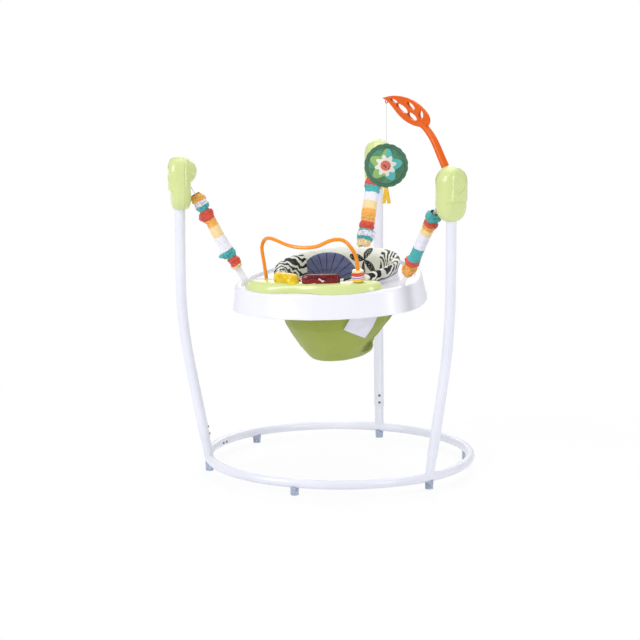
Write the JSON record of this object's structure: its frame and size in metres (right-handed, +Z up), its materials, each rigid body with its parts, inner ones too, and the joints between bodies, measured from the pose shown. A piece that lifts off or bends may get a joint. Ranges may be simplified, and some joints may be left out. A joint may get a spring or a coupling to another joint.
{
  "type": "baby activity jumper",
  "caption": "Three-legged baby jumper: sprung play tray on a round tube base, swivel fabric seat, toy console with bead bar, and an arm with a hanging plush toy.",
  "frame": {"origin": "middle of the bounding box at floor level, under the feet", "axes": "+Z up, the toy console faces -Y, the arm with the hanging toy is on the +X side"},
  "size_m": [0.826, 0.8324, 1.0251],
  "materials": {
    "white_paint": "satin powder coat",
    "foot_rubber": "soft grey-blue",
    "steel": "dark plated",
    "spring_steel": "bright",
    "lime_plastic": "gloss lime",
    "white_webbing": "woven",
    "sleeve_fabric": "gathered, striped in teal, coral, orange, pale yellow and white",
    "white_plastic": "satin white",
    "pad_fabric": "printed cotton",
    "sling_fabric": "olive woven",
    "label_fabric": "plain white satin",
    "board": "green board",
    "yellow_clear": "translucent yellow",
    "red_clear": "translucent red",
    "orange_bar": "gloss orange",
    "bead_yellow": "gloss yellow",
    "bead_white": "white with a purple line",
    "bead_red": "gloss red",
    "bead_cream": "gloss cream",
    "leaf_orange": "deep orange",
    "string": "thin white cord",
    "plush_fabric": "printed plush",
    "ribbon": "satin yellow"
  },
  "bodies": {
    "frame": {"base_ring_front": "white_paint", "base_ring_back": "white_paint", "leg_left": "white_paint", "leg_screw_left_1": "steel", "leg_screw_left_2": "steel", "housing_inner_left": "lime_plastic", "housing_outer_left": "lime_plastic", "hanger_pin_left": "steel", "leg_right": "white_paint", "leg_screw_right_1": "steel", "leg_screw_right_2": "steel", "housing_inner_right": "lime_plastic", "housing_outer_right": "lime_plastic", "hanger_pin_right": "steel", "leg_back": "white_paint", "leg_screw_back_1": "steel", "leg_screw_back_2": "steel", "housing_inner_back": "lime_plastic", "housing_outer_back": "lime_plastic", "hanger_pin_back": "steel", "ring_screw_left_1": "steel", "ring_screw_left_2": "steel", "ring_screw_right_1": "steel", "ring_screw_right_2": "steel", "foot_1": "foot_rubber", "foot_2": "foot_rubber", "foot_3": "foot_rubber", "foot_4": "foot_rubber", "foot_5": "foot_rubber", "foot_6": "foot_rubber", "toy_arm": "leaf_orange", "strap_left": "white_webbing", "spring_left": "spring_steel", "sleeve_left": "sleeve_fabric", "strap_right": "white_webbing", "spring_right": "spring_steel", "sleeve_right": "sleeve_fabric", "strap_back": "white_webbing", "spring_back": "spring_steel", "sleeve_back": "sleeve_fabric"},
    "tray": {"tray": "white_plastic", "console_top": "lime_plastic", "console_base": "white_plastic", "circuit_board": "board", "bead_bar": "orange_bar", "bead_base_yellow": "bead_yellow"},
    "seat": {"seat_ring": "white_plastic", "seat_pad": "pad_fabric", "seat_sling": "sling_fabric", "care_label": "label_fabric"},
    "yellow_button": {"yellow_button": "yellow_clear"},
    "red_button": {"red_button": "red_clear"},
    "bead_white": {"bead_white": "bead_white"},
    "bead_red": {"bead_red": "bead_red"},
    "bead_cream": {"bead_cream": "bead_cream"},
    "hanging_toy": {"toy_string": "string", "plush_toy": "plush_fabric", "ribbon": "ribbon"}
  },
  "joints": [
    {"name": "bounce", "type": "slide", "parent": "frame", "child": "tray", "axis": [0, 0, 1], "range_m": [-0.12, 0], "stiffness_N_per_m": 1100, "springref_m": 0.045, "deforming": ["strap_left", "spring_left", "sleeve_left", "strap_right", "spring_right", "sleeve_right", "strap_back", "spring_back", "sleeve_back"]},
    {"name": "seat_swivel", "type": "hinge", "parent": "tray", "child": "seat", "pos_m": [-0.007, -0.04568, 0.529], "axis": [-0.0459, -0.09, 0.9949], "continuous": true},
    {"name": "yellow_press", "type": "slide", "parent": "tray", "child": "yellow_button", "axis": [0.0459, 0.09, -0.9949], "range_m": [0, 0.003], "stiffness_N_per_m": 400, "springref_m": -0.002},
    {"name": "red_press", "type": "slide", "parent": "tray", "child": "red_button", "axis": [0.0459, 0.09, -0.9949], "range_m": [0, 0.003], "stiffness_N_per_m": 400, "springref_m": -0.002},
    {"name": "white_bead_slide", "type": "slide", "parent": "tray", "child": "bead_white", "axis": [-0.0459, -0.09, 0.9949], "range_m": [0, 0.012]},
    {"name": "red_bead_slide", "type": "slide", "parent": "tray", "child": "bead_red", "axis": [-0.0459, -0.09, 0.9949], "range_m": [0, 0.012]},
    {"name": "cream_bead_slide", "type": "slide", "parent": "tray", "child": "bead_cream", "axis": [-0.0459, -0.09, 0.9949], "range_m": [0, 0.012]},
    {"name": "toy_swing", "type": "hinge", "parent": "frame", "child": "hanging_toy", "pos_m": [0.15728, -0.12688, 1.0016], "axis": [0.3338, -0.9426, 0], "range_deg": [-40, 40]}
  ],
  "couplings": [
    {"joint": "red_bead_slide", "follows": "white_bead_slide", "ratio": 1},
    {"joint": "cream_bead_slide", "follows": "white_bead_slide", "ratio": 1}
  ]
}
